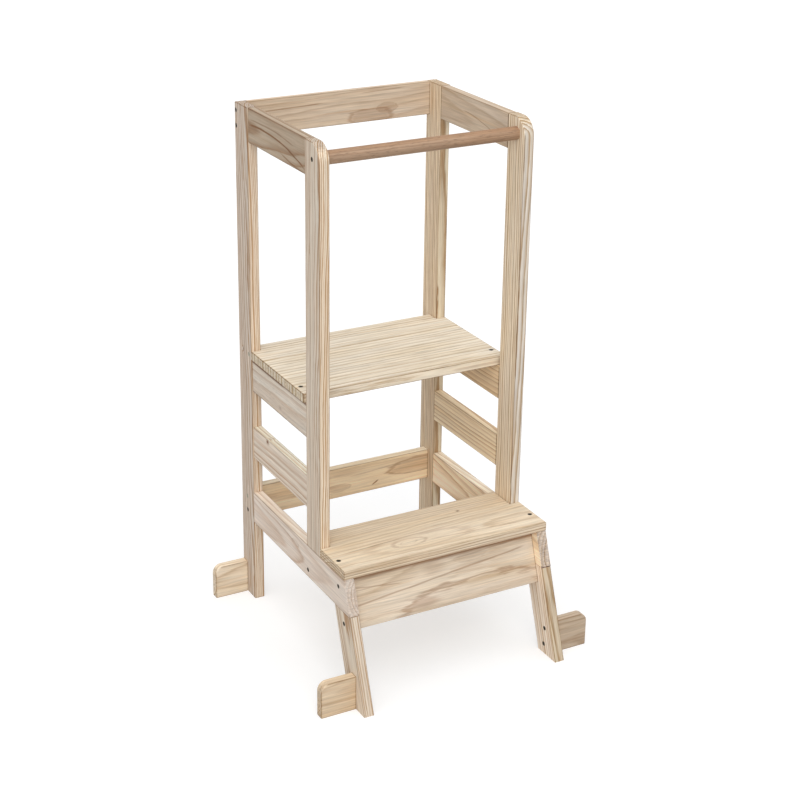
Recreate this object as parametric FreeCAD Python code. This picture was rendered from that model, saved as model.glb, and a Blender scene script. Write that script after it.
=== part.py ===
import FreeCAD, Part
import math
import os
from FreeCAD import Vector

# A free-standing kitchen helper stool in solid pine.
# Frame: +Z up, the child climbs in from -Y, origin on the floor at the middle of the outline.
# All sizes are millimetres.

# ---- driving dimensions -------------------------------------------------------------------
HEIGHT = 900.0
WIDTH = 380.0                 # over the outer faces of the posts
FRAME_DEPTH = 315.0           # front face of the front posts to back face of the rear posts

LATH_THICKNESS = 18.0         # posts, front legs and bottom side rails
POST_DEPTH = 50.0
POST_TOP_RADIUS = 30.0        # rounded front top corner of the front posts

RAIL_THICKNESS = 16.0
RAIL_HEIGHT = 58.0
BOTTOM_RAIL_TOP = 211.0
RAIL_PITCH = 125.0            # from each side rail's top edge to the next one up
RAIL_REACH = 85.0             # how far the bottom rail's top edge runs out past the front posts

LEG_ANGLE = math.radians(19.3)
LEG_WIDTH = 50.0

BOARD_THICKNESS = 16.0        # platform and step
PLATFORM_DEPTH = 231.0
PLATFORM_GAP = 8.0            # between the front posts' back faces and the platform's front edge
STEP_OVERHANG = 1.0           # past the bottom rail's front end
STEP_PAST_POST = 2.0          # step's back edge behind the front posts' back faces
NOTCH_CLEARANCE = 0.5

APRON_THICKNESS = 16.0
APRON_RECESS = 18.0           # level distance from the leg's front face to the apron's
APRON_BOTTOM = 124.0

TOP_BACK_RAIL_THICKNESS = 11.0
TOP_BACK_RAIL_HEIGHT = 58.0
LOWER_BACK_RAIL_SETBACK = 19.0

HAND_BAR_RADIUS = 11.0
HAND_BAR_HEIGHT = 873.0

FOOT_LENGTH = 62.0
FOOT_HEIGHT = 60.0
FOOT_THICKNESS = 16.0
FOOT_CORNER_RADIUS = 15.0
REAR_FOOT_SETBACK = 32.0      # behind the rear post's front face
FRONT_FOOT_SETBACK = 29.0     # behind the front leg's toe

EDGE_RADIUS = 1.5             # sanded long edges
SMALL_EDGE_RADIUS = 1.0       # where another piece meets the edge
PIN_RADIUS = 4.0
PIN_HALF_LENGTH = 15.0
PIN_SPACING = 28.0

SCREW_RADIUS = 2.0
SCREW_HEAD_RADIUS = 4.0
SCREW_HEAD_RIM = 0.5          # straight rim above the head's cone
SCREW_HEAD_HEIGHT = 2.6
SCREW_SUNK = 0.4
SCREW_TIP_LENGTH = 5.0
SCREW_TIP_RADIUS = 0.4
RECESS_SPAN = 4.4             # cross recess in the head, from tip to tip
RECESS_SLOT = 1.0
RECESS_DEPTH = 1.6
LONG_SCREW = 45.0
SHORT_SCREW = 35.0
FILLER_DEPTH = 2.5            # wood filler above a screw head that is sunk deeper

TOP_BACK_RAIL_SCREWS = (39.0, 13.0)      # below the top
LOW_RAIL_SCREW_FROM_FOOT = 13.0
LOW_RAIL_SCREW_FROM_TOP = 18.0
APRON_SCREW_HEIGHTS = (133.0, 191.0)
FOOT_SCREW_HEIGHTS = (17.0, 47.0)
PLATFORM_SCREW_SETBACK = 32.0            # from the platform's front edge
PLATFORM_SIDE_SCREW_SETBACK = 9.0        # from the rear posts' front faces
STEP_SCREW_SETBACK = 37.0                # from the step's front edge
STEP_BACK_RAIL_PAST_STEP = 2.0           # its back face behind the step's back edge

TOUCHING = 0.1                # how near an edge has to be to a face to lie on it

# ---- places worked out from them ----------------------------------------------------------
LEAN = math.tan(LEG_ANGLE)
TOTAL_DEPTH = FRAME_DEPTH + RAIL_REACH + BOTTOM_RAIL_TOP * LEAN
REAR_BACK = TOTAL_DEPTH / 2
REAR_FRONT = REAR_BACK - POST_DEPTH
POST_FRONT = REAR_BACK - FRAME_DEPTH
POST_BACK = POST_FRONT + POST_DEPTH
RAIL_NOSE = POST_FRONT - RAIL_REACH

OUTER = WIDTH / 2
INNER = OUTER - LATH_THICKNESS
RAIL_OUTER = INNER + RAIL_THICKNESS
RAIL_MIDDLE = INNER + RAIL_THICKNESS / 2
LATH_MIDDLE = INNER + LATH_THICKNESS / 2

BOTTOM_RAIL_FOOT = BOTTOM_RAIL_TOP - RAIL_HEIGHT
MIDDLE_RAIL_TOP = BOTTOM_RAIL_TOP + RAIL_PITCH
UPPER_RAIL_TOP = MIDDLE_RAIL_TOP + RAIL_PITCH
PLATFORM_TOP = UPPER_RAIL_TOP + BOARD_THICKNESS
STEP_TOP = BOTTOM_RAIL_TOP + BOARD_THICKNESS
LEG_LEVEL_WIDTH = LEG_WIDTH / math.cos(LEG_ANGLE)

PLATFORM_FRONT = POST_BACK + PLATFORM_GAP
PLATFORM_BACK = PLATFORM_FRONT + PLATFORM_DEPTH
STEP_FRONT = RAIL_NOSE - STEP_OVERHANG
STEP_BACK = POST_BACK + STEP_PAST_POST
STEP_BACK_RAIL_BACK = STEP_BACK + STEP_BACK_RAIL_PAST_STEP
STEP_BACK_RAIL_FRONT = STEP_BACK_RAIL_BACK - RAIL_THICKNESS
LOWER_BACK_RAIL_FRONT = REAR_FRONT + LOWER_BACK_RAIL_SETBACK

HAND_BAR_Y = POST_FRONT + POST_DEPTH / 2

SIDES = {"left": -1, "right": 1}


def leg_front(z):
    """Y of the front legs' front face at height z."""
    return RAIL_NOSE - (BOTTOM_RAIL_TOP - z) * LEAN


# ---- shapes -------------------------------------------------------------------------------
def block(x_pair, y_pair, z_pair):
    """Box between two values on each axis, given in either order."""
    low = Vector(min(x_pair), min(y_pair), min(z_pair))
    high = Vector(max(x_pair), max(y_pair), max(z_pair))
    size = high - low
    return Part.makeBox(size.x, size.y, size.z, low)


def slab(points, x_pair):
    """Board cut to a side outline of (y, z) points and as thick as the two x values."""
    left = min(x_pair)
    corners = [Vector(left, y, z) for y, z in points]
    face = Part.Face(Part.makePolygon(corners + corners[:1]))
    return face.extrude(Vector(max(x_pair) - left, 0, 0))


def plate(points, z_pair):
    """Board cut to a plan outline of (x, y) points and as thick as the two z values."""
    low = min(z_pair)
    corners = [Vector(x, y, low) for x, y in points]
    face = Part.Face(Part.makePolygon(corners + corners[:1]))
    return face.extrude(Vector(0, 0, max(z_pair) - low))


def eased(shape, direction, radius=EDGE_RADIUS):
    """Rounds the edges that run along one direction, as sanding does."""
    chosen = []
    for edge in shape.Edges:
        run = edge.Vertexes[-1].Point - edge.Vertexes[0].Point
        if run.Length > 0 and abs(run.normalize().dot(direction)) > 0.999:
            chosen.append(edge)
    return shape.makeFillet(radius, chosen)


def eased_at(shape, test, radius=EDGE_RADIUS):
    """Rounds the edges whose middle point passes a test."""
    chosen = [edge for edge in shape.Edges if test(edge.CenterOfMass)]
    return shape.makeFillet(radius, chosen)


def without(shape, tools):
    """Shape with every tool that meets it cut away."""
    box = shape.BoundBox
    near = [tool for tool in tools if box.intersect(tool.BoundBox)]
    return shape.cut(near) if near else shape


X_AXIS = Vector(1, 0, 0)
Y_AXIS = Vector(0, 1, 0)
Z_AXIS = Vector(0, 0, 1)


# ---- screws and pins ----------------------------------------------------------------------
def screw_body(point, direction, length):
    """Countersunk screw without its recess, its head just under the surface at point."""
    tip = length - SCREW_TIP_LENGTH
    profile = [
        (0, SCREW_SUNK),
        (SCREW_HEAD_RADIUS, SCREW_SUNK),
        (SCREW_HEAD_RADIUS, SCREW_SUNK + SCREW_HEAD_RIM),
        (SCREW_RADIUS, SCREW_SUNK + SCREW_HEAD_HEIGHT),
        (SCREW_RADIUS, tip),
        (SCREW_TIP_RADIUS, length),
        (0, length),
    ]
    corners = [Vector(radius, 0, depth) for radius, depth in profile]
    face = Part.Face(Part.makePolygon(corners + corners[:1]))
    body = face.revolve(Vector(0, 0, 0), Z_AXIS, 360)
    body.Placement = FreeCAD.Placement(point, FreeCAD.Rotation(Z_AXIS, direction))
    return body


def screw(point, direction, length):
    """Countersunk screw with a cross recess."""
    span = (-RECESS_SPAN / 2, RECESS_SPAN / 2)
    slot = (-RECESS_SLOT / 2, RECESS_SLOT / 2)
    depth = (SCREW_SUNK, SCREW_SUNK + RECESS_DEPTH)
    cutter = block(span, slot, depth).fuse(block(slot, span, depth))
    cutter.Placement = FreeCAD.Placement(point, FreeCAD.Rotation(Z_AXIS, direction))
    return screw_body(point, direction, length).cut(cutter)


def screw_hole(point, direction, length):
    """Space that a screw takes, with the short bore above its head."""
    above = 1.0
    start = point - direction * above
    mouth = Part.makeCylinder(SCREW_HEAD_RADIUS, SCREW_SUNK + above, start, direction)
    return screw_body(point, direction, length).fuse(mouth)


def filler(point, direction):
    """Wood filler that closes the hole above a deeply sunk screw, flush with the surface."""
    return Part.makeCylinder(SCREW_HEAD_RADIUS, FILLER_DEPTH + SCREW_SUNK, point, direction)


def pin(middle, direction):
    """Glued dowel pin, half in each of the two pieces that it joins."""
    start = middle - direction * PIN_HALF_LENGTH
    return Part.makeCylinder(PIN_RADIUS, 2 * PIN_HALF_LENGTH, start, direction)


def screw_places():
    """Name of each screw group to its list of (point, direction, length), and filled holes."""
    low_in_rail = BOTTOM_RAIL_FOOT + LOW_RAIL_SCREW_FROM_FOOT
    high_in_rail = BOTTOM_RAIL_TOP - LOW_RAIL_SCREW_FROM_TOP
    lower_back_rail_y = LOWER_BACK_RAIL_FRONT + RAIL_THICKNESS / 2
    step_back_rail_y = STEP_BACK_RAIL_FRONT + RAIL_THICKNESS / 2
    top_back_rail_y = REAR_BACK - TOP_BACK_RAIL_THICKNESS / 2
    platform_tongue_y = REAR_FRONT + PLATFORM_SIDE_SCREW_SETBACK
    platform_middle = PLATFORM_TOP - BOARD_THICKNESS / 2
    apron_middle = APRON_RECESS + APRON_THICKNESS / math.cos(LEG_ANGLE) / 2
    groups = {
        "hand_bar_screws": [],
        "top_back_rail_screws": [],
        "lower_back_rail_screws": [],
        "step_back_rail_screws": [],
        "apron_screws": [],
        "foot_screws": [],
        "platform_screws": [],
        "platform_side_screws": [],
        "step_screws": [],
    }
    filled_holes = []
    for side in SIDES.values():
        inward = X_AXIS * -side
        outward = X_AXIS * side
        face = side * OUTER

        def through_side(group, y, z):
            groups[group].append((Vector(face, y, z), inward, LONG_SCREW))

        def under_filler(group, y, z):
            mouth = Vector(face, y, z)
            filled_holes.append((mouth, inward))
            groups[group].append((mouth + inward * FILLER_DEPTH, inward, LONG_SCREW))

        through_side("hand_bar_screws", HAND_BAR_Y, HAND_BAR_HEIGHT)
        for below_top in TOP_BACK_RAIL_SCREWS:
            through_side("top_back_rail_screws", top_back_rail_y, HEIGHT - below_top)
        through_side("lower_back_rail_screws", lower_back_rail_y, low_in_rail)
        under_filler("lower_back_rail_screws", lower_back_rail_y, high_in_rail)
        under_filler("platform_side_screws", platform_tongue_y, platform_middle)
        through_side("step_back_rail_screws", step_back_rail_y, low_in_rail)
        for z in APRON_SCREW_HEIGHTS:
            through_side("apron_screws", leg_front(z) + apron_middle, z)

        foot_middles = (
            REAR_FRONT + REAR_FOOT_SETBACK + FOOT_THICKNESS / 2,
            leg_front(0) + FRONT_FOOT_SETBACK + FOOT_THICKNESS / 2,
        )
        for y in foot_middles:
            for z in FOOT_SCREW_HEIGHTS:
                groups["foot_screws"].append((Vector(side * INNER, y, z), outward, LONG_SCREW))

        top = Vector(side * RAIL_MIDDLE, PLATFORM_FRONT + PLATFORM_SCREW_SETBACK, PLATFORM_TOP)
        groups["platform_screws"].append((top, -Z_AXIS, SHORT_SCREW))
        top = Vector(side * LATH_MIDDLE, STEP_FRONT + STEP_SCREW_SETBACK, STEP_TOP)
        groups["step_screws"].append((top, -Z_AXIS, SHORT_SCREW))
    return groups, filled_holes


def side_rail_middles():
    """Height of the middle of the top, upper and middle side rails."""
    tops = (HEIGHT, UPPER_RAIL_TOP, MIDDLE_RAIL_TOP)
    return [top - RAIL_HEIGHT / 2 for top in tops]


def rail_pins():
    """Pins between the side rails and the posts."""
    pins = []
    for side in SIDES.values():
        for middle in side_rail_middles():
            for z in (middle - PIN_SPACING / 2, middle + PIN_SPACING / 2):
                pins.append(pin(Vector(side * RAIL_MIDDLE, POST_BACK, z), Y_AXIS))
                pins.append(pin(Vector(side * RAIL_MIDDLE, REAR_FRONT, z), Y_AXIS))
        middle = BOTTOM_RAIL_TOP - RAIL_HEIGHT / 2
        for z in (middle - PIN_SPACING / 2, middle + PIN_SPACING / 2):
            pins.append(pin(Vector(side * LATH_MIDDLE, REAR_FRONT, z), Y_AXIS))
    return pins


def leg_pins():
    """Upright pins from the bottom rail up into the front post and down into the front leg."""
    post_middle = POST_FRONT + POST_DEPTH / 2
    leg_middle = leg_front(BOTTOM_RAIL_FOOT) + LEG_LEVEL_WIDTH / 2
    pins = []
    for side in SIDES.values():
        for offset in (-PIN_SPACING / 2, PIN_SPACING / 2):
            x = side * LATH_MIDDLE
            pins.append(pin(Vector(x, post_middle + offset, BOTTOM_RAIL_TOP), Z_AXIS))
            pins.append(pin(Vector(x, leg_middle + offset, BOTTOM_RAIL_FOOT), Z_AXIS))
    return pins


# ---- wooden pieces ------------------------------------------------------------------------
def rear_post(side):
    x_pair = (side * INNER, side * OUTER)
    post = block(x_pair, (REAR_FRONT, REAR_BACK), (0, HEIGHT))
    post = eased(post, Z_AXIS)
    return eased_at(post, lambda p: p.z > HEIGHT - TOUCHING, SMALL_EDGE_RADIUS)


def front_post(side):
    x_pair = (side * INNER, side * OUTER)
    post = block(x_pair, (POST_FRONT, POST_BACK), (BOTTOM_RAIL_TOP, HEIGHT))

    def front_top_corner(p):
        return abs(p.y - POST_FRONT) < TOUCHING and abs(p.z - HEIGHT) < TOUCHING

    post = eased_at(post, front_top_corner, POST_TOP_RADIUS)

    def side_edge(p):
        return min(abs(p.x - x) for x in x_pair) < TOUCHING

    def rim(p):
        return side_edge(p) and p.z > BOTTOM_RAIL_TOP + TOUCHING

    return eased_at(post, rim)


def side_rail(side, top):
    x_pair = (side * INNER, side * RAIL_OUTER)
    rail = block(x_pair, (POST_BACK, REAR_FRONT), (top - RAIL_HEIGHT, top))
    return eased(rail, Y_AXIS)


def bottom_side_rail(side):
    outline = [
        (REAR_FRONT, BOTTOM_RAIL_FOOT),
        (REAR_FRONT, BOTTOM_RAIL_TOP),
        (leg_front(BOTTOM_RAIL_TOP), BOTTOM_RAIL_TOP),
        (leg_front(BOTTOM_RAIL_FOOT), BOTTOM_RAIL_FOOT),
    ]
    rail = slab(outline, (side * INNER, side * OUTER))
    return eased(rail, Y_AXIS, SMALL_EDGE_RADIUS)


def front_leg(side):
    top = leg_front(BOTTOM_RAIL_FOOT)
    toe = leg_front(0)
    outline = [
        (toe, 0),
        (top, BOTTOM_RAIL_FOOT),
        (top + LEG_LEVEL_WIDTH, BOTTOM_RAIL_FOOT),
        (toe + LEG_LEVEL_WIDTH, 0),
    ]
    leg = slab(outline, (side * INNER, side * OUTER))
    slope = Vector(0, math.sin(LEG_ANGLE), math.cos(LEG_ANGLE))
    return eased(leg, slope)


def top_back_rail():
    y_pair = (REAR_BACK - TOP_BACK_RAIL_THICKNESS, REAR_BACK)
    rail = block((-INNER, INNER), y_pair, (HEIGHT - TOP_BACK_RAIL_HEIGHT, HEIGHT))
    return eased(rail, X_AXIS)


def low_cross_rail(front):
    """Cross rail at the height of the bottom side rails, its front face at the given Y."""
    rail = block((-INNER, INNER), (front, front + RAIL_THICKNESS), (BOTTOM_RAIL_FOOT, BOTTOM_RAIL_TOP))
    return eased(rail, X_AXIS)


def hand_bar():
    start = Vector(-INNER, HAND_BAR_Y, HAND_BAR_HEIGHT)
    return Part.makeCylinder(HAND_BAR_RADIUS, 2 * INNER, start, X_AXIS)


def platform():
    """Full width between the posts, notched at the back round the rear posts."""
    tongue = INNER - NOTCH_CLEARANCE
    notch = REAR_FRONT - NOTCH_CLEARANCE
    outline = [
        (-OUTER, PLATFORM_FRONT),
        (OUTER, PLATFORM_FRONT),
        (OUTER, notch),
        (tongue, notch),
        (tongue, PLATFORM_BACK),
        (-tongue, PLATFORM_BACK),
        (-tongue, notch),
        (-OUTER, notch),
    ]
    board = plate(outline, (UPPER_RAIL_TOP, PLATFORM_TOP))
    return ease_board(board, UPPER_RAIL_TOP, PLATFORM_TOP)


def step_board():
    """Full width in front of the front posts, notched at the back to pass between them."""
    tongue = INNER - NOTCH_CLEARANCE
    notch = POST_FRONT - NOTCH_CLEARANCE
    outline = [
        (-OUTER, STEP_FRONT),
        (OUTER, STEP_FRONT),
        (OUTER, notch),
        (tongue, notch),
        (tongue, STEP_BACK),
        (-tongue, STEP_BACK),
        (-tongue, notch),
        (-OUTER, notch),
    ]
    board = plate(outline, (BOTTOM_RAIL_TOP, STEP_TOP))
    return ease_board(board, BOTTOM_RAIL_TOP, STEP_TOP)


def ease_board(board, bottom, top):
    """Rounds the rims of a board's top and bottom faces."""
    def rim(p):
        return min(abs(p.z - top), abs(p.z - bottom)) < TOUCHING

    return eased_at(board, rim)


def step_apron():
    """Leans with the legs, its top bevelled to the step and its lower edge cut square."""
    front_low = leg_front(APRON_BOTTOM) + APRON_RECESS
    front_high = leg_front(BOTTOM_RAIL_TOP) + APRON_RECESS
    level = APRON_THICKNESS / math.cos(LEG_ANGLE)
    outline = [
        (front_low, APRON_BOTTOM),
        (front_high, BOTTOM_RAIL_TOP),
        (front_high + level, BOTTOM_RAIL_TOP),
        (
            front_low + APRON_THICKNESS * math.cos(LEG_ANGLE),
            APRON_BOTTOM - APRON_THICKNESS * math.sin(LEG_ANGLE),
        ),
    ]
    board = slab(outline, (-INNER, INNER))
    return eased_at(board, lambda p: abs(p.x) < TOUCHING and p.z < APRON_BOTTOM + TOUCHING)


def foot(side, front):
    """Block beside a post or leg, with a rounded outer top corner."""
    tip = side * (OUTER + FOOT_LENGTH)
    blank = block((side * OUTER, tip), (front, front + FOOT_THICKNESS), (0, FOOT_HEIGHT))

    def outer_top_corner(p):
        return abs(p.x - tip) < TOUCHING and abs(p.z - FOOT_HEIGHT) < TOUCHING

    rounded = eased_at(blank, outer_top_corner, FOOT_CORNER_RADIUS)

    def rim(p):
        on_face = min(abs(p.y - front), abs(p.y - front - FOOT_THICKNESS)) < TOUCHING
        return on_face and p.z > TOUCHING and abs(p.x - side * OUTER) > TOUCHING

    return eased_at(rounded, rim)


# ---- assembly -----------------------------------------------------------------------------
def wooden_pieces():
    pieces = {
        "top_back_rail": top_back_rail(),
        "lower_back_rail": low_cross_rail(LOWER_BACK_RAIL_FRONT),
        "step_back_rail": low_cross_rail(STEP_BACK_RAIL_FRONT),
        "hand_bar": hand_bar(),
        "platform": platform(),
        "step_board": step_board(),
        "step_apron": step_apron(),
    }
    for name, side in SIDES.items():
        pieces["rear_post_" + name] = rear_post(side)
        pieces["front_post_" + name] = front_post(side)
        pieces["top_side_rail_" + name] = side_rail(side, HEIGHT)
        pieces["upper_side_rail_" + name] = side_rail(side, UPPER_RAIL_TOP)
        pieces["middle_side_rail_" + name] = side_rail(side, MIDDLE_RAIL_TOP)
        pieces["bottom_side_rail_" + name] = bottom_side_rail(side)
        pieces["front_leg_" + name] = front_leg(side)
        pieces["foot_rear_" + name] = foot(side, REAR_FRONT + REAR_FOOT_SETBACK)
        pieces["foot_front_" + name] = foot(side, leg_front(0) + FRONT_FOOT_SETBACK)
    return pieces


def main():
    os.makedirs("parts", exist_ok=True)
    groups, filled_holes = screw_places()
    pins = {"rail_dowel_pins": rail_pins(), "leg_dowel_pins": leg_pins()}
    plugs = [filler(*hole) for hole in filled_holes]
    holes = [screw_hole(*place) for places in groups.values() for place in places]
    holes += [one for group in pins.values() for one in group]
    holes += plugs

    nodes = {}
    for name, piece in wooden_pieces().items():
        nodes[name] = without(piece, holes)
    for name, places in groups.items():
        nodes[name] = Part.makeCompound([screw(*place) for place in places])
    for name, group in pins.items():
        nodes[name] = Part.makeCompound(group)
    nodes["hole_fillers"] = Part.makeCompound(plugs)

    for name, shape in nodes.items():
        shape.exportStep("parts/" + name + ".step")
        print(name, len(shape.Solids), shape.isValid(), round(shape.Volume / 1000, 1), "cm3")


main()
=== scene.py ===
import math

import bpy
from mathutils import Matrix, Vector


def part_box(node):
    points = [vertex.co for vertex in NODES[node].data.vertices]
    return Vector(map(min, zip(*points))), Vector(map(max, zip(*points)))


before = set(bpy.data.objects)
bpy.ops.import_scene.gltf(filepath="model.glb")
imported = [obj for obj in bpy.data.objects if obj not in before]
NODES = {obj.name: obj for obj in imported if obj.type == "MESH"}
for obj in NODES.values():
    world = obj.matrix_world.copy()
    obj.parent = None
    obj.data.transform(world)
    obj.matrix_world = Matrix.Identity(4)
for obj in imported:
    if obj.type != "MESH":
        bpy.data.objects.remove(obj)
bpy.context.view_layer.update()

# A raw pine kitchen helper stool: every board is sawn from its own imaginary log, so that
# one board's long faces, narrow edges and end grain all show the same growth rings.
# Places are metres in the stool's frame; sizes inside the wood are millimetres.

MM = 0.001


# ---- shader nodes -------------------------------------------------------------------------
SEED_STEP = (977.0, 131.0, 57.0)      # how far apart the patterns of two seeds lie
SQUARE_ENOUGH = (0.55, 0.9)           # cosines between which a face begins to face a direction


class Value:
    """One number of a finish, on which arithmetic adds Math nodes."""

    def __init__(self, finish, socket):
        self.finish = finish
        self.socket = socket

    def math(self, operation, *others, clamp=False):
        settings = {"operation": operation, "use_clamp": clamp}
        return self.finish.number("ShaderNodeMath", settings, (self, *others))

    def __add__(self, other):
        return self.math("ADD", other)

    __radd__ = __add__

    def __sub__(self, other):
        return self.math("SUBTRACT", other)

    def __rsub__(self, other):
        return self.finish.number("ShaderNodeMath", {"operation": "SUBTRACT"}, (other, self))

    def __mul__(self, other):
        return self.math("MULTIPLY", other)

    __rmul__ = __mul__

    def __truediv__(self, other):
        return self.math("DIVIDE", other)

    def clamped(self):
        return self.math("ADD", 0.0, clamp=True)

    def squared(self):
        return self.math("MULTIPLY", self)

    def size(self):
        return self.math("ABSOLUTE")

    def root(self):
        return self.math("SQRT")

    def fraction(self):
        return self.math("FRACT")

    def larger(self, other):
        return self.math("MAXIMUM", other)

    def smaller(self, other):
        return self.math("MINIMUM", other)

    def fade(self, start, end):
        """0 at start and 1 at end, with smooth shoulders."""
        settings = {"interpolation_type": "SMOOTHSTEP"}
        return self.finish.number("ShaderNodeMapRange", settings, (self, start, end, 0.0, 1.0))


class Finish:
    """The nodes of one material, or of the world."""

    def __init__(self, name, tree=None):
        if tree is None:
            self.material = bpy.data.materials.new(name)
            self.material.use_nodes = True
            tree = self.material.node_tree
        self.tree = tree
        self.tree.nodes.clear()

    def node(self, kind, settings=None, inputs=()):
        """Adds a node: its settings first, then its inputs by place or by name."""
        node = self.tree.nodes.new(kind)
        for key, setting in (settings or {}).items():
            if key == "stops":
                self.set_stops(node.color_ramp, setting)
            else:
                setattr(node, key, setting)
        pairs = inputs.items() if isinstance(inputs, dict) else enumerate(inputs)
        for key, given in pairs:
            given = getattr(given, "socket", given)
            if isinstance(given, bpy.types.NodeSocket):
                self.tree.links.new(given, node.inputs[key])
            else:
                node.inputs[key].default_value = given
        return node

    @staticmethod
    def set_stops(ramp, stops):
        """Gives a ramp its grey stops, each a place and a level."""
        for place, level in stops[2:]:
            ramp.elements.new(place)
        for element, (place, level) in zip(ramp.elements, stops):
            element.position = place
        for element, (place, level) in zip(ramp.elements, stops):
            element.color = (level, level, level, 1.0)

    def number(self, kind, settings, inputs):
        return Value(self, self.node(kind, settings, inputs).outputs[0])

    def vector(self, operation, *inputs):
        return self.node("ShaderNodeVectorMath", {"operation": operation}, inputs).outputs[0]

    def facing(self, normal, direction):
        """1 on faces that lie square to a direction, either way round, and 0 on the others."""
        inputs = (normal, tuple(direction))
        node = self.node("ShaderNodeVectorMath", {"operation": "DOT_PRODUCT"}, inputs)
        return Value(self, node.outputs[1]).size().fade(*SQUARE_ENOUGH)

    def parts(self, vector):
        node = self.node("ShaderNodeSeparateXYZ", None, (vector,))
        return [Value(self, socket) for socket in node.outputs]

    def here(self):
        return self.node("ShaderNodeTexCoord").outputs["Object"]

    def placed(self, vector, centre, turn, scale):
        """A place as it is measured from a centre, along turned axes, in steps of scale."""
        settings = {"vector_type": "TEXTURE"}
        inputs = {"Vector": vector, "Location": centre, "Rotation": turn, "Scale": scale}
        return self.node("ShaderNodeMapping", settings, inputs).outputs[0]

    def noise(self, place, reach, seed, detail=2.0):
        """Noise whose pattern reaches so far along, across and through the grain."""
        centre = [seed * step for step in SEED_STEP]
        scaled = self.placed(place, centre, (0.0, 0.0, 0.0), reach)
        inputs = {"Vector": scaled, "Scale": 1.0, "Detail": detail, "Roughness": 0.5}
        return self.node("ShaderNodeTexNoise", None, inputs)

    def grey_noise(self, place, reach, seed, detail=2.0):
        """The same as one number about 0, from -1 to 1."""
        return Value(self, self.noise(place, reach, seed, detail).outputs[0]) * 2.0 - 1.0

    def line_noise(self, place, detail):
        """Noise along a line, from 0 to 1."""
        inputs = {"W": place, "Scale": 1.0, "Detail": detail}
        return self.number("ShaderNodeTexNoise", {"noise_dimensions": "1D"}, inputs)

    def speckle(self, scale, detail):
        """Fine even noise from 0 to 1, the same in every direction."""
        inputs = {"Vector": self.here(), "Scale": scale, "Detail": detail}
        return self.number("ShaderNodeTexNoise", None, inputs)

    def mix(self, share, first, second):
        """A colour between two, where share is how much there is of the second."""
        settings = {"data_type": "RGBA", "clamp_factor": True}
        inputs = {0: share, 6: first, 7: second}
        return self.node("ShaderNodeMix", settings, inputs).outputs[2]

    def bump(self, height, strength, depth):
        """Fine relief in the light only, for a height from 0 to 1 and a depth in metres."""
        inputs = {"Strength": strength, "Distance": depth, "Height": height}
        return self.node("ShaderNodeBump", None, inputs).outputs[0]

    def principled(self, colour, roughness, normal, specular=0.5):
        inputs = {
            "Base Color": colour, "Roughness": roughness, "Normal": normal,
            "Specular IOR Level": specular,
        }
        return self.surface(self.node("ShaderNodeBsdfPrincipled", None, inputs).outputs[0])

    def surface(self, shader):
        self.node("ShaderNodeOutputMaterial", None, {"Surface": shader})
        return self.material


def rgb(red, green, blue):
    """Linear colour from the 0 to 255 numbers of a paint chart."""
    def linear(level):
        level /= 255.0
        return level / 12.92 if level <= 0.04045 else ((level + 0.055) / 1.055) ** 2.4

    return (linear(red), linear(green), linear(blue), 1.0)


# ---- wood ---------------------------------------------------------------------------------
X_AXIS = Vector((1, 0, 0))
Y_AXIS = Vector((0, 1, 0))
Z_AXIS = Vector((0, 0, 1))
LEG_ANGLE = math.radians(19.3)
LEG_AXIS = Vector((0, math.sin(LEG_ANGLE), math.cos(LEG_ANGLE)))


def board_colours(early, late, pale, amber):
    """Spring wood, summer wood, paler patches and resin-rich streaks of a kind of board."""
    return {"early": rgb(*early), "late": rgb(*late), "pale": rgb(*pale), "amber": rgb(*amber)}


STRAW = board_colours((236, 220, 192), (188, 156, 116), (243, 232, 212), (214, 180, 132))
CREAM = board_colours((238, 225, 202), (196, 170, 134), (246, 238, 223), (222, 198, 160))
PINKISH = board_colours((226, 209, 192), (184, 148, 116), (234, 222, 208), (214, 188, 160))
HONEY = board_colours((228, 204, 168), (178, 138, 96), (238, 220, 190), (204, 160, 108))
TAN = board_colours((222, 199, 170), (170, 134, 100), (230, 212, 190), (200, 162, 118))
BROWN = board_colours((180, 148, 120), (134, 102, 76), (192, 163, 136), (160, 124, 94))
# the dark of knots, also used for the painted shade in seams
KNOT_AND_SEAM_SHADE = rgb(112, 70, 42)
# the dark of years and loops, also used for painted shade lines
RING_AND_SHADE_MARK = rgb(158, 116, 80)

# across one year: pale spring wood that darkens slowly, then a sharp edge
YEAR_STOPS = [(0.0, 0.35), (0.08, 0.0), (0.4, 0.08), (0.72, 0.5), (0.92, 1.0), (1.0, 0.5)]

# how far each pattern reaches along, across and through the grain, in millimetres
WANDER_REACH = (240.0, 80.0, 80.0)    # the slow bends of the whole log
WAVE_REACH = (70.0, 11.0, 11.0)       # the bends of single years
FRAY_REACH = (30.0, 1.8, 1.8)         # the ragged edges of years
BREAK_REACH = (75.0, 2.6, 2.6)        # where a year pales and darkens again
FIBRE_REACH = (22.0, 0.8, 0.8)
GRAIN_REACH = (55.0, 1.9, 1.9)
STREAK_REACH = (190.0, 4.2, 4.2)
CLOUD_REACH = (170.0, 26.0, 26.0)     # the paler patches
RESIN_REACH = (260.0, 7.0, 7.0)
CANAL_REACH = (9.0, 0.55, 0.55)       # the fine resin canals
RAY_REACH = (400.0, 1.4, 9.0)         # the rays in the end grain

# how the years of one log differ: how fast their widths and strengths change from year to
# year, by how much of a year they are moved, and how faint the faintest is
WIDTH_CHANGE = 0.45
STRENGTH_CHANGE = 0.8
YEAR_SHIFT = 0.9
FAINTEST_YEAR = 0.15
STRENGTH_SPREAD = 1.3
BREAK_SPREAD = 0.3                    # how much a year pales and darkens along its length

# how far waves and frayed fibres move the edge of a year, in millimetres
WAVE_PUSH = 1.1
FRAY_PUSH = 0.8

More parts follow.
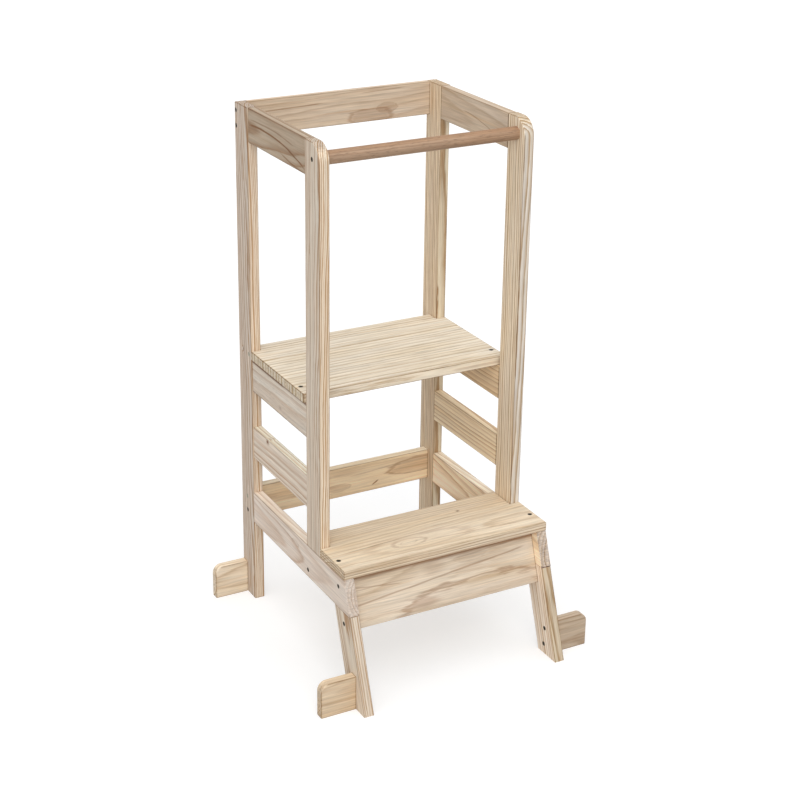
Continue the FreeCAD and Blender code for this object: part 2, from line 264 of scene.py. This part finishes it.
# how much each pattern lightens and darkens the wood
FIBRE_SHADE = 0.13
GRAIN_SHADE = 0.27
STREAK_SHADE = 0.19
CANAL_SHADE = 0.1
RAY_SHADE = 0.3
RESIN_SHARE = 0.7                     # how amber the resin-rich streaks get
ARRIS_WARMTH = (0.85, 1.0, 1.15)      # how much of the red, green and blue the painted shade on an arris takes away
ARRIS_FADE = (0.5, 1.9)               # millimetres from an arris where its painted shade fades out
ARRIS_WOBBLE = 0.3

# knots and drawn figures
OVAL_WOBBLE = 0.22                    # how ragged an oval is, as a share of its size
KNOT_LENGTH = 1.5                     # a knot's length along the grain, for a width of 1
KNOT_SWERVE = 1.6                     # how far the years swerve round a knot, in its radii
KNOT_HALO = 0.35                      # how dark the wood round a knot is, for a core of 1
LINE_END = 10.0                       # length over which a drawn line begins and ends
LINE_CORE = 0.3                       # the fully dark share of a drawn line's width

# how proud of the planed face each pattern stands, for a depth of 1
LATE_RELIEF = 0.35
FIBRE_RELIEF = 0.3
GRAIN_RELIEF = 0.2
STREAK_RELIEF = 0.15
CANAL_RELIEF = -0.3
RELIEF_DEPTH = 0.4 * MM
RELIEF_STRENGTH = 0.4

# planed wood is dull; summer wood and handled arrises are smoother, fibres and ends rougher
WOOD_ROUGHNESS = 0.68
FIBRE_ROUGHNESS = 0.06
END_ROUGHNESS = 0.1
LATE_POLISH = 0.08
ARRIS_POLISH = 0.08
WOOD_SPECULAR = 0.25


def growth_rings(finish, radius, ring, seed):
    """The share of summer wood at a distance from the pith, with uneven years."""
    years = radius / ring
    uneven = finish.line_noise(years * WIDTH_CHANGE + seed * 7.0, detail=1.0) - 0.5
    years = years + uneven * YEAR_SHIFT
    ramp = finish.number("ShaderNodeValToRGB", {"stops": YEAR_STOPS}, (years.fraction(),))
    strength = finish.line_noise(years * STRENGTH_CHANGE + seed * 3.0, detail=0.0)
    return ramp * (strength * STRENGTH_SPREAD + FAINTEST_YEAR)


def oval(run, side, waves, place, half_size):
    """Distance from a place in the wide face, where 1 is the rim of a ragged oval."""
    far_run = (run - place[0]) / half_size[0]
    far_side = (side - place[1]) / half_size[1]
    return (far_run.squared() + far_side.squared()).root() + waves * OVAL_WOBBLE


def knot_rings(run, side, waves, knot):
    """How far the years swerve round a knot, and how dark its core and its halo are."""
    knot_run, knot_side, radius, darkness = knot
    away = oval(run, side, waves, (knot_run, knot_side), (radius * KNOT_LENGTH, radius))
    swerve = (1.0 - away.fade(0.6, 3.5)) * (radius * KNOT_SWERVE)
    core = (1.0 - away.fade(0.7, 1.2)) * darkness
    halo = (1.0 - away.fade(1.0, 2.8)) * (darkness * KNOT_HALO)
    return swerve, core + halo


def closed_year(run, side, ragged, loop):
    """1 on the rim of a year that closes on itself in the face, and a share of it inside."""
    loop_run, loop_side, half_length, half_width, rim, inside = loop
    away = oval(run, side, ragged, (loop_run, loop_side), (half_length, half_width))
    edge = (1.0 - (away - 1.0).size().fade(0.02, 0.2)) * rim
    outside = away.fade(0.8, 1.05) if rim else away.fade(0.3, 1.25)
    return edge.larger((1.0 - outside) * inside)


def dark_line(run, level, wobble, line):
    """1 on one dark line in a face and 0 away from it; most lines are single dark years, and seams
    and some lines are painted shade.
    """
    start, end, at, slope, bend, width, darkness = line
    place = run * slope + run.squared() * (bend * MM) + at
    on_it = 1.0 - (level - place + wobble).size().fade(width * LINE_CORE, width)
    taper = min(LINE_END, (end - start) / 4)
    begun = run.fade(start - taper, start + taper)
    not_over = 1.0 - run.fade(end - taper, end + taper)
    return on_it * begun * not_over * darkness


def arris_share(places, halves, fray):
    """1 on the arrises and 0 in the faces: on an arris even the second nearest face is close."""
    to_faces = [half - place.size() for half, place in zip(halves, places)]
    nearest = to_faces[0].smaller(to_faces[1]).smaller(to_faces[2])
    farthest = to_faces[0].larger(to_faces[1]).larger(to_faces[2])
    second = to_faces[0] + to_faces[1] + to_faces[2] - nearest - farthest
    return 1.0 - (second + fray * ARRIS_WOBBLE).fade(*ARRIS_FADE)


def wood(name, centre, halves, along, face, pith, ring, colours, seed, contrast=1.0,
         tilt=(0.0, 0.0), wander=4.0, frayed=1.0, tint_and_painted_light=(1.0, 1.0, 1.0), knots=(), loops=(),
         lines=(), edge_lines=(), painted_seam_shades=(), flecks=0.0, fleck_size=(12.0, 1.5), arris_shade=0.5,
         end_rings=0.9, end_shade=(0.14, 0.14, 0.14), narrow_rings=0.0,
         narrow_painted_light=(0.0, 0.0, 0.0)):
    """A board's finish.

    along is the grain's direction and face the direction out of the wide face. centre is the
    board's middle in metres, and halves is half its size along, across and through it.
    pith is where the log's middle runs, across and out of the wide face from the board's
    middle. ring is the width of one year. tilt is how far the pith drifts across and out over
    a metre of length, and wander how far it strays from that. frayed is how ragged the years
    are and contrast how dark. The board's red, green and blue are multiplied by tint, which
    holds the board's own tone together with painted light and shade on its visible faces.

    A knot is (along, across, radius, darkness). A loop, where a year closes on itself in the
    face, is (along, across, half length, half width, darkness of the rim, of the middle).
    With no dark rim it is a soft patch. A line is a dark stripe in the wide face: (from, to,
    across, slope, bend, width, darkness); most are single dark years, and some are painted
    shade. An edge line is the same in the narrow face, with its place through the board
    instead of across it. A seam is painted shade: a line as dark as the shaded gap under a
    neighbouring board. flecks is the strength of dark dashes along the grain, and fleck_size
    their length and width.

    arris_shade is how much the arrises are darkened, as painted shade along the edges.
    end_rings and narrow_rings are how much harder the rings show in the end grain and the
    narrow faces. end_shade is how much red, green and blue the end grain loses: partly its own
    duller tone and partly painted shade. narrow_painted_light is painted light and shade: how much
    more of them the narrow faces send back, or less where it is negative.
    """
    finish = Finish(name)
    across = face.cross(along)
    turn = Matrix((along, across, face)).transposed().to_euler()
    board = finish.placed(finish.here(), centre, turn, (MM, MM, MM))
    run, side, out = finish.parts(board)

    # the log wanders slowly, and the edge of each year is frayed by its fibres
    slow = finish.parts(finish.noise(board, WANDER_REACH, seed, detail=1.0).outputs[1])
    waves = finish.grey_noise(board, WAVE_REACH, seed + 0.3)
    fray = finish.grey_noise(board, FRAY_REACH, seed + 0.5, detail=3.0)
    stray = wander * 2.0
    from_pith_side = side - pith[0] - run * (tilt[0] * MM) + (slow[0] - 0.5) * stray
    from_pith_out = out - pith[1] - run * (tilt[1] * MM) + (slow[1] - 0.5) * stray
    radius = (from_pith_side.squared() + from_pith_out.squared()).root()
    radius = radius + waves * (WAVE_PUSH * frayed) + fray * (FRAY_PUSH * frayed)

    # knots, which the years swerve round, and the figures that are drawn on the faces, painted shade
    # lines among them
    marks = []
    for knot in knots:
        swerve, darkness = knot_rings(run, side, waves, knot)
        radius = radius + swerve
        marks.append((darkness, KNOT_AND_SEAM_SHADE))
    for loop in loops:
        ragged = (waves + fray * 0.6) * frayed
        marks.append((closed_year(run, side, ragged, loop), RING_AND_SHADE_MARK))
    for line in lines:
        marks.append((dark_line(run, side, waves * 1.6 + fray * 0.8, line), RING_AND_SHADE_MARK))
    # painted shade in the gaps under neighbouring boards
    for line in painted_seam_shades:
        marks.append((dark_line(run, side, fray * 0.2, line), KNOT_AND_SEAM_SHADE))
    for line in edge_lines:
        marks.append((dark_line(run, out, waves * 0.4 + fray * 0.4, line), RING_AND_SHADE_MARK))

    broken = finish.grey_noise(board, BREAK_REACH, seed + 0.7)
    late = growth_rings(finish, radius, ring, seed) * (broken * BREAK_SPREAD + 1.0) * contrast

    fibres = finish.grey_noise(board, FIBRE_REACH, seed + 0.6)
    grain = finish.grey_noise(board, GRAIN_REACH, seed + 0.85, detail=3.0)
    streaks = finish.grey_noise(board, STREAK_REACH, seed + 0.8, detail=3.0)
    clouds = finish.grey_noise(board, CLOUD_REACH, seed + 0.1, detail=4.0)
    resin = finish.grey_noise(board, RESIN_REACH, seed + 0.2, detail=3.0)
    canals = finish.grey_noise(board, CANAL_REACH, seed + 0.9).fade(0.42, 0.66)
    rays = finish.grey_noise(board, RAY_REACH, seed + 0.4)

    # end grain is duller with harder rings; the narrow faces get painted light and shade, and the end
    # grain painted shade on top of its duller tone
    normal = finish.node("ShaderNodeNewGeometry").outputs["True Normal"]
    end = finish.facing(normal, along)
    narrow = finish.facing(normal, across)
    harder = 1.0 + end * end_rings + narrow * narrow_rings
    arris = arris_share((run, side, out), halves, fray)

    colour = finish.mix((clouds * 1.1 + 0.5).clamped(), colours["early"], colours["pale"])
    colour = finish.mix(resin.fade(0.0, 0.8) * RESIN_SHARE, colour, colours["amber"])
    colour = finish.mix((late * harder).clamped(), colour, colours["late"])
    for mask, mark_colour in marks:
        colour = finish.mix(mask.clamped(), colour, mark_colour)

    shade = 1.0 + fibres * FIBRE_SHADE + grain * GRAIN_SHADE + streaks * STREAK_SHADE
    shade = shade - canals * CANAL_SHADE + rays * end * RAY_SHADE
    if flecks:
        fleck_length, fleck_width = fleck_size
        fleck_reach = (fleck_length, fleck_width, fleck_width)
        dashes = finish.grey_noise(board, fleck_reach, seed + 0.95).fade(0.1, 0.5)
        shade = shade - dashes * flecks
    # painted shade along the arrises
    shades = [shade - arris * (arris_shade * warmth) for warmth in ARRIS_WARMTH]
    # painted light and shade on the narrow faces
    shades = [level + narrow * pale for level, pale in zip(shades, narrow_painted_light)]
    # the end grain's duller tone, with painted shade on top
    shades = [level - end * dark for level, dark in zip(shades, end_shade)]
    # the tint holds the board's own tone together with painted light and shade on its faces
    tone_and_painted_light = [level * part for level, part in zip(shades, tint_and_painted_light)]
    shading = finish.node("ShaderNodeCombineXYZ", None, tone_and_painted_light).outputs[0]
    colour = finish.vector("MULTIPLY", colour, shading)

    height = late * LATE_RELIEF + fibres * FIBRE_RELIEF + grain * GRAIN_RELIEF
    height = height + streaks * STREAK_RELIEF + canals * CANAL_RELIEF
    bump = finish.bump(height, RELIEF_STRENGTH, RELIEF_DEPTH)
    roughness = WOOD_ROUGHNESS + fibres * FIBRE_ROUGHNESS - late * LATE_POLISH
    roughness = roughness + end * END_ROUGHNESS - arris * ARRIS_POLISH
    return finish.principled(colour, roughness, bump, WOOD_SPECULAR)


def middle(node):
    low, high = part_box(node)
    return (Vector(low) + Vector(high)) / 2


def half_sizes(node, along, face):
    """Half a node's box along, across and through the board, in millimetres."""
    low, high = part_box(node)
    size = Vector(high) - Vector(low)
    axes = (along, face.cross(along), face)
    return [sum(abs(axis[i]) * size[i] for i in range(3)) / 2 / MM for axis in axes]


def dress(node, material):
    """Gives a piece its finish in place of the one it was loaded with."""
    piece = NODES[node]
    piece.data.materials.clear()
    piece.data.materials.append(material)


# ---- how each board was sawn --------------------------------------------------------------
LEFT = -X_AXIS
RIGHT = X_AXIS
FRONT = -Y_AXIS
UP = Z_AXIS
APRON_FACE = X_AXIS.cross(LEG_AXIS)

# Besides how it was sawn, each board's tint holds painted light and shade as well as its own tone,
# and its narrow-face and end-grain settings paint light and shade on those faces.
BOARDS = {
    "rear_post_left": dict(
        along=UP, face=LEFT, pith=(-36, -52), ring=3.4, colours=PINKISH,
        tilt=(14, 16), wander=6.0, contrast=1.6, narrow_rings=0.3,
        narrow_painted_light=(0.337, 0.33, 0.264), tint_and_painted_light=(0.864, 0.885, 0.908),
        knots=((21, 7, 2.0, 0.45),),
    ),
    "rear_post_right": dict(
        along=UP, face=RIGHT, pith=(-70, -22), ring=4.8, colours=TAN,
        tilt=(-12, 8), contrast=1.9, narrow_painted_light=(-0.111, -0.102, -0.12),
        tint_and_painted_light=(1.194, 1.266, 1.293),
    ),
    "front_post_left": dict(
        along=UP, face=LEFT, pith=(-40, -52), ring=3.4, colours=PINKISH,
        tilt=(16, -14), wander=6.0, contrast=1.1, narrow_rings=0.7,
        narrow_painted_light=(0.275, 0.27, 0.216), tint_and_painted_light=(0.918, 0.932, 0.922),
    ),
    "front_post_right": dict(
        along=UP, face=RIGHT, pith=(64, -28), ring=5.0, colours=STRAW,
        tilt=(-10, 14), wander=6.0, contrast=1.4, narrow_painted_light=(-0.1, -0.055, 0.055),
        tint_and_painted_light=(1.031, 1.026, 1.041),
    ),
    "top_side_rail_left": dict(
        along=Y_AXIS, face=LEFT, pith=(-6, -42), ring=8.0, colours=PINKISH,
        tilt=(60, 40), wander=9.0, tint_and_painted_light=(0.623, 0.578, 0.51),
        lines=(
            (-100, 100, -2, -0.11, 1.1, 2.4, 0.95), (-100, -20, 12, -0.3, -1.5, 1.8, 0.7),
            (-60, 95, -12, -0.05, 0.6, 1.6, 0.5),
        ),
    ),
    "top_side_rail_right": dict(
        along=Y_AXIS, face=LEFT, pith=(8, -50), ring=6.5, colours=STRAW,
        tilt=(-30, 30), contrast=0.5, tint_and_painted_light=(0.733, 0.674, 0.658),
        lines=((-60, 30, 0, -0.12, 1.6, 1.6, 0.45),),
    ),
    "upper_side_rail_left": dict(
        along=Y_AXIS, face=LEFT, pith=(20, -60), ring=6.5, colours=PINKISH,
        tilt=(30, 0), contrast=0.55, flecks=0.2, tint_and_painted_light=(0.921, 0.948, 0.963),
        knots=((-4, 16, 1.5, 0.45),),
        # the seams are painted shade: the gap under the platform along the rail's top, and a line
        # along its bottom edge
        painted_seam_shades=(
            (-20, 112, -27.6, 0.0, 0.0, 3.4, 0.95), (-112, -20, -27.8, 0.0, 0.0, 3.0, 0.5),
            (-112, 112, 28.2, 0.0, 0.0, 2.4, 0.5),
        ),
    ),
    "upper_side_rail_right": dict(
        along=Y_AXIS, face=LEFT, pith=(50, -30), ring=6.0, colours=HONEY,
        tilt=(20, 0), contrast=0.8, tint_and_painted_light=(1.085, 1.059, 1.033),
    ),
    "middle_side_rail_left": dict(
        along=Y_AXIS, face=LEFT, pith=(-30, -55), ring=6.0, colours=PINKISH,
        tilt=(-26, 10), narrow_painted_light=(0.32, 0.47, 0.48), tint_and_painted_light=(0.972, 0.976, 0.973),
        knots=((49, -25, 2.3, 0.7),),
    ),
    "middle_side_rail_right": dict(
        along=Y_AXIS, face=LEFT, pith=(60, -26), ring=6.5, colours=HONEY,
        tilt=(12, 4), contrast=0.85, tint_and_painted_light=(1.175, 1.209, 1.254),
    ),
    "bottom_side_rail_left": dict(
        along=Y_AXIS, face=LEFT, pith=(6, -40), ring=7.5, colours=PINKISH,
        tilt=(20, 60), wander=8.0, contrast=0.55, end_rings=0.1, narrow_painted_light=(0.2, 0.22, 0.2),
        tint_and_painted_light=(0.994, 0.997, 1.026),
        loops=((15, -11, 13, 5, 0.35, 0.1),),
    ),
    "bottom_side_rail_right": dict(
        along=Y_AXIS, face=LEFT, pith=(14, -48), ring=7.0, colours=STRAW,
        tilt=(-24, 46), wander=7.0, contrast=0.7, end_rings=0.3, end_shade=(0.43, 0.42, 0.34),
        narrow_painted_light=(-0.047, 0.022, 0.118), tint_and_painted_light=(1.267, 1.2, 1.145),
    ),
    "front_leg_left": dict(
        along=LEG_AXIS, face=LEFT, pith=(-14, -50), ring=4.2, colours=PINKISH,
        tilt=(20, 10), contrast=1.4, tint_and_painted_light=(0.947, 0.958, 0.931),
    ),
    "front_leg_right": dict(
        along=LEG_AXIS, face=LEFT, pith=(44, -28), ring=4.8, colours=STRAW,
        tilt=(-20, 0), contrast=1.1, narrow_painted_light=(-0.36, -0.375, -0.434),
        tint_and_painted_light=(1.174, 1.158, 1.235),
    ),
    "foot_rear_left": dict(
        along=X_AXIS, face=FRONT, pith=(4, -40), ring=6.5, colours=CREAM,
        tilt=(60, 60), contrast=0.6, tint_and_painted_light=(1.039, 0.985, 0.941),
    ),
    "foot_rear_right": dict(
        along=X_AXIS, face=FRONT, pith=(-8, -44), ring=6.0, colours=PINKISH,
        tilt=(-50, 30),
    ),
    "foot_front_left": dict(
        along=X_AXIS, face=FRONT, pith=(10, -36), ring=6.0, colours=HONEY,
        tilt=(80, 40), contrast=0.3, tint_and_painted_light=(0.917, 0.894, 0.912),
    ),
    "foot_front_right": dict(
        along=X_AXIS, face=FRONT, pith=(-16, -40), ring=7.0, colours=TAN,
        tilt=(-70, 20), contrast=0.6, tint_and_painted_light=(0.752, 0.744, 0.742),
    ),
    "top_back_rail": dict(
        along=X_AXIS, face=FRONT, pith=(-40, -40), ring=9.0, colours=TAN,
        tilt=(30, 30), wander=12.0, frayed=1.6, contrast=0.45, tint_and_painted_light=(0.936, 0.937, 0.958),
        loops=((56, -20, 42, 13, 0.5, 0.36), (88, -8, 18, 9, 0.35, 0.3)),
        lines=((-150, -40, 12, 0.02, 0.0, 1.8, 0.6), (40, 120, 20, 0.03, 0.0, 1.2, 0.5)),
    ),
    "lower_back_rail": dict(
        along=X_AXIS, face=FRONT, pith=(-4, -48), ring=8.0, colours=HONEY,
        tilt=(-40, 20), wander=10.0, frayed=1.5, contrast=0.5, narrow_painted_light=(0.05, 0.14, 0.26),
        tint_and_painted_light=(1.202, 1.206, 1.22),
        loops=(
            (150, 4, 57, 15, 0.6, 0.32), (-15, -10, 26, 7, 0.3, 0.3), (0, 16, 40, 7, 0.0, 0.25),
        ),
        lines=((56, 67, -47.5, 0.55, 0.0, 2.4, 1.0), (10, 100, 8, 0.02, 0.4, 1.8, 0.3)),
    ),
    "step_back_rail": dict(
        along=X_AXIS, face=FRONT, pith=(10, -50), ring=7.0, colours=TAN,
        tilt=(20, 20),
    ),
    "platform": dict(
        along=X_AXIS, face=UP, pith=(230, -12), ring=10.5, colours=CREAM,
        tilt=(6, 4), wander=3.0, frayed=2.6, contrast=0.9, flecks=0.2, fleck_size=(60.0, 4.0),
        arris_shade=0.6, narrow_painted_light=(0.09, 0.09, 0.09), tint_and_painted_light=(0.95, 0.935, 0.921),
        # the second edge line darkens the front edge along its bottom as painted shade; the first
        # darkens a band at the edge's right end
        edge_lines=((90, 190, -1, 0.0, 0.0, 3.0, 0.3), (-190, 190, -7.4, 0.0, 0.0, 1.2, 0.5)),
    ),
    "step_board": dict(
        along=X_AXIS, face=UP, pith=(-34, -58), ring=5.0, colours=STRAW,
        tilt=(10, 14), wander=6.0, frayed=1.3, contrast=0.5, flecks=0.08, arris_shade=0.35,
        tint_and_painted_light=(0.957, 0.921, 0.894),
        knots=((77.5, 33, 1.6, 0.6),),
        loops=(
            (-51, -28, 30, 12, 0.3, 0.0), (-51, -28, 15, 5, 0.22, 0.0),
            (-30, -30, 95, 21, 0.22, 0.0),
        ),
        lines=((-10, 150, -34.7, -0.083, 0.0, 1.8, 0.35), (-160, -60, -8, 0.05, 0.0, 1.6, 0.3)),
        edge_lines=(
            (-200, 200, 3.4, 0.0, 0.0, 1.3, 0.5), (-200, 200, -1.6, 0.0, 0.0, 1.3, 0.6),
            (-200, 200, -5.8, 0.0, 0.0, 1.2, 0.55),
        ),
    ),
    "step_apron": dict(
        along=X_AXIS, face=APRON_FACE, pith=(-4, -60), ring=9.0, colours=STRAW,
        tilt=(60, 40), wander=10.0, frayed=2.0, contrast=0.4, tint_and_painted_light=(0.891, 0.863, 0.881),
        loops=(
            (60, -38, 140, 26, 0.5, 0.08), (-46, -32, 30, 9, 0.0, 0.4),
            (-19, 20, 25, 14, 0.0, 0.22), (50, 24, 30, 7, 0.15, 0.15),
        ),
        lines=(
            (-172, 150, 5.2, 0.09, 0.0, 2.0, 0.5), (-172, -85, -2, -0.13, 0.0, 1.5, 0.4),
            (-172, -60, 12, -0.02, 0.0, 1.4, 0.3), (20, 172, 26, 0.05, 0.0, 1.5, 0.3),
            # the first line here is the painted shadow under the step's nose
            (-180, 180, 38, 0.0, 0.0, 9.0, 0.85), (-180, 180, -48.5, 0.0, 0.0, 2.2, 0.5),
        ),
    ),
}

NO_ARRIS = 1000.0             # half size of a board in a direction in which it isn't cut square
LEG_HALF_WIDTH = 25.0
LEG_HALF_THICKNESS = 9.0
APRON_HALF_THICKNESS = 8.0

for number, (node, cut) in enumerate(BOARDS.items()):
    halves = half_sizes(node, cut["along"], cut["face"])
    if node.startswith("front_leg"):
        halves = [NO_ARRIS, LEG_HALF_WIDTH, LEG_HALF_THICKNESS]
    if node == "step_apron":
        halves[1:] = [NO_ARRIS, APRON_HALF_THICKNESS]
    dress(node, wood("pine_" + node, middle(node), halves, seed=number + 1.0, **cut))

dress("hand_bar", wood(
    "hand_bar_wood", middle("hand_bar"), [NO_ARRIS] * 3,
    along=X_AXIS, face=FRONT, pith=(14, -20), ring=3.2, colours=BROWN, seed=40.0,
    tilt=(8, 4), wander=2.0, frayed=0.8, contrast=0.55, flecks=0.4, tint_and_painted_light=(1.01, 1.03, 1.079),
    # the line along the top of the bar is painted shade
    loops=((130, 0, 120, 40, 0.0, 0.25),), lines=((-200, 200, 11, 0.0, 0.0, 5.0, 0.45),),
))

PIN_WOOD = wood(
    "beech_pin_wood", Vector((0, 0, 0)), [NO_ARRIS] * 3,
    along=Y_AXIS, face=LEFT, pith=(30, -20), ring=1.5, colours=TAN, seed=50.0, contrast=0.4,
)
for node in ("rail_dowel_pins", "leg_dowel_pins"):
    dress(node, PIN_WOOD)


def filler_finish():
    """Dried paste, sanded flush, greyer than the wood around it."""
    finish = Finish("wood_filler")
    grains = finish.speckle(scale=900.0, detail=3.0)
    colour = finish.mix(grains.fade(0.35, 0.7), rgb(176, 168, 148), rgb(142, 138, 122))
    bump = finish.bump(grains, strength=0.4, depth=0.2 * MM)
    return finish.principled(colour, 0.8 - grains * 0.1, bump)


dress("hole_fillers", filler_finish())


# ---- screws -------------------------------------------------------------------------------
def black_screw_finish():
    """Black phosphate, a little dusty."""
    finish = Finish("black_screw")
    fine = finish.speckle(scale=2600.0, detail=2.0)
    colour = finish.mix(fine.fade(0.45, 0.75), rgb(42, 36, 26), rgb(84, 74, 54))
    bump = finish.bump(fine, strength=0.3, depth=0.1 * MM)
    return finish.principled(colour, fine * 0.3 + 0.4, bump, specular=0.3)


BLACK_SCREW = black_screw_finish()
for node in NODES:
    if node.endswith("_screws"):
        dress(node, BLACK_SCREW)


# ---- floor, light and camera --------------------------------------------------------------
FLOOR_HALF = 14.0
FLOOR_COLOUR = (0.55, 0.55, 0.55, 1.0)
FLOOR_GLOW = 0.52
SKY_COLOUR = (1.0, 0.99, 0.97, 1.0)
SKY_LIGHT = 0.45
WHITE = (1.0, 1.0, 1.0, 1.0)


def seen_directly(finish):
    """1 for what the camera, a reflection or clear glass sees, and 0 for the light itself."""
    rays = finish.node("ShaderNodeLightPath").outputs
    kinds = ("Is Camera Ray", "Is Glossy Ray", "Is Transmission Ray")
    camera_ray, glossy_ray, clear_ray = [Value(finish, rays[kind]) for kind in kinds]
    return camera_ray.larger(glossy_ray).larger(clear_ray)


def floor():
    """A pale floor that keeps the stool's shadow and looks white beyond it."""
    bpy.ops.object.select_all(action="DESELECT")
    bpy.ops.mesh.primitive_plane_add(size=2 * FLOOR_HALF, location=(0, 0, 0))
    piece = bpy.context.object
    piece.name = "floor"
    finish = Finish("pale_floor")
    sheet = finish.node("ShaderNodeBsdfDiffuse", None, {"Color": FLOOR_COLOUR}).outputs[0]
    glow = finish.node("ShaderNodeEmission", None, {"Strength": FLOOR_GLOW}).outputs[0]
    none = finish.node("ShaderNodeEmission", None, {"Strength": 0.0}).outputs[0]
    lift = finish.node("ShaderNodeMixShader", None, (seen_directly(finish), none, glow)).outputs[0]
    both = finish.node("ShaderNodeAddShader", None, (sheet, lift)).outputs[0]
    piece.data.materials.append(finish.surface(both))


def sky():
    """Even pale light from all round, and a white background for the camera."""
    world = bpy.data.worlds.new("studio")
    world.use_nodes = True
    bpy.context.scene.world = world
    finish = Finish("studio_sky", world.node_tree)
    pale = {"Color": SKY_COLOUR, "Strength": SKY_LIGHT}
    light = finish.node("ShaderNodeBackground", None, pale).outputs[0]
    white = finish.node("ShaderNodeBackground", None, {"Color": WHITE, "Strength": 1.0}).outputs[0]
    mixed = finish.node("ShaderNodeMixShader", None, (seen_directly(finish), light, white)).outputs[0]
    finish.node("ShaderNodeOutputWorld", None, {"Surface": mixed})


def lamp(name, direction, strength, softness, colour=(1, 1, 1)):
    """A far lamp; direction points from the stool to it, and softness is its size in degrees."""
    data = bpy.data.lights.new(name, "SUN")
    data.energy = strength
    data.angle = math.radians(softness)
    data.color = colour
    piece = bpy.data.objects.new(name, data)
    piece.rotation_euler = Vector(direction).to_track_quat("Z", "Y").to_euler()
    bpy.context.collection.objects.link(piece)


CAMERA_PLACE = Vector((-1.274454, -2.298590, 1.554793))
CAMERA_AZIMUTH = math.radians(-27.479)
CAMERA_ELEVATION = math.radians(20.641)
CAMERA_ROLL = math.radians(0.348)
CAMERA_LENS = 77.109
CAMERA_SHIFT = (0.05, -0.1)


def camera():
    """The photograph's camera: back is the direction from the stool to it."""
    back = Vector((
        math.sin(CAMERA_AZIMUTH) * math.cos(CAMERA_ELEVATION),
        -math.cos(CAMERA_AZIMUTH) * math.cos(CAMERA_ELEVATION),
        math.sin(CAMERA_ELEVATION),
    ))
    right = Vector((math.cos(CAMERA_AZIMUTH), math.sin(CAMERA_AZIMUTH), 0.0))
    up = back.cross(right)
    rolled_right = right * math.cos(CAMERA_ROLL) + up * math.sin(CAMERA_ROLL)
    rolled_up = up * math.cos(CAMERA_ROLL) - right * math.sin(CAMERA_ROLL)
    data = bpy.data.cameras.new("camera")
    data.lens = CAMERA_LENS
    data.shift_x, data.shift_y = CAMERA_SHIFT
    piece = bpy.data.objects.new("camera", data)
    turn = Matrix((rolled_right, rolled_up, back)).transposed().to_4x4()
    piece.matrix_world = Matrix.Translation(CAMERA_PLACE) @ turn
    bpy.context.collection.objects.link(piece)
    bpy.context.scene.camera = piece


floor()
sky()
lamp("overhead", (0.0, -0.1, 1.0), strength=1.3, softness=80.0, colour=(0.965, 1.0, 1.045))
lamp("key", (-0.45, -1.0, 0.75), strength=1.0, softness=40.0, colour=(1.0, 0.955, 0.9))
lamp("side", (-1.0, -0.25, 0.3), strength=0.42, softness=60.0)
camera()
bpy.context.scene.view_settings.view_transform = "Standard"
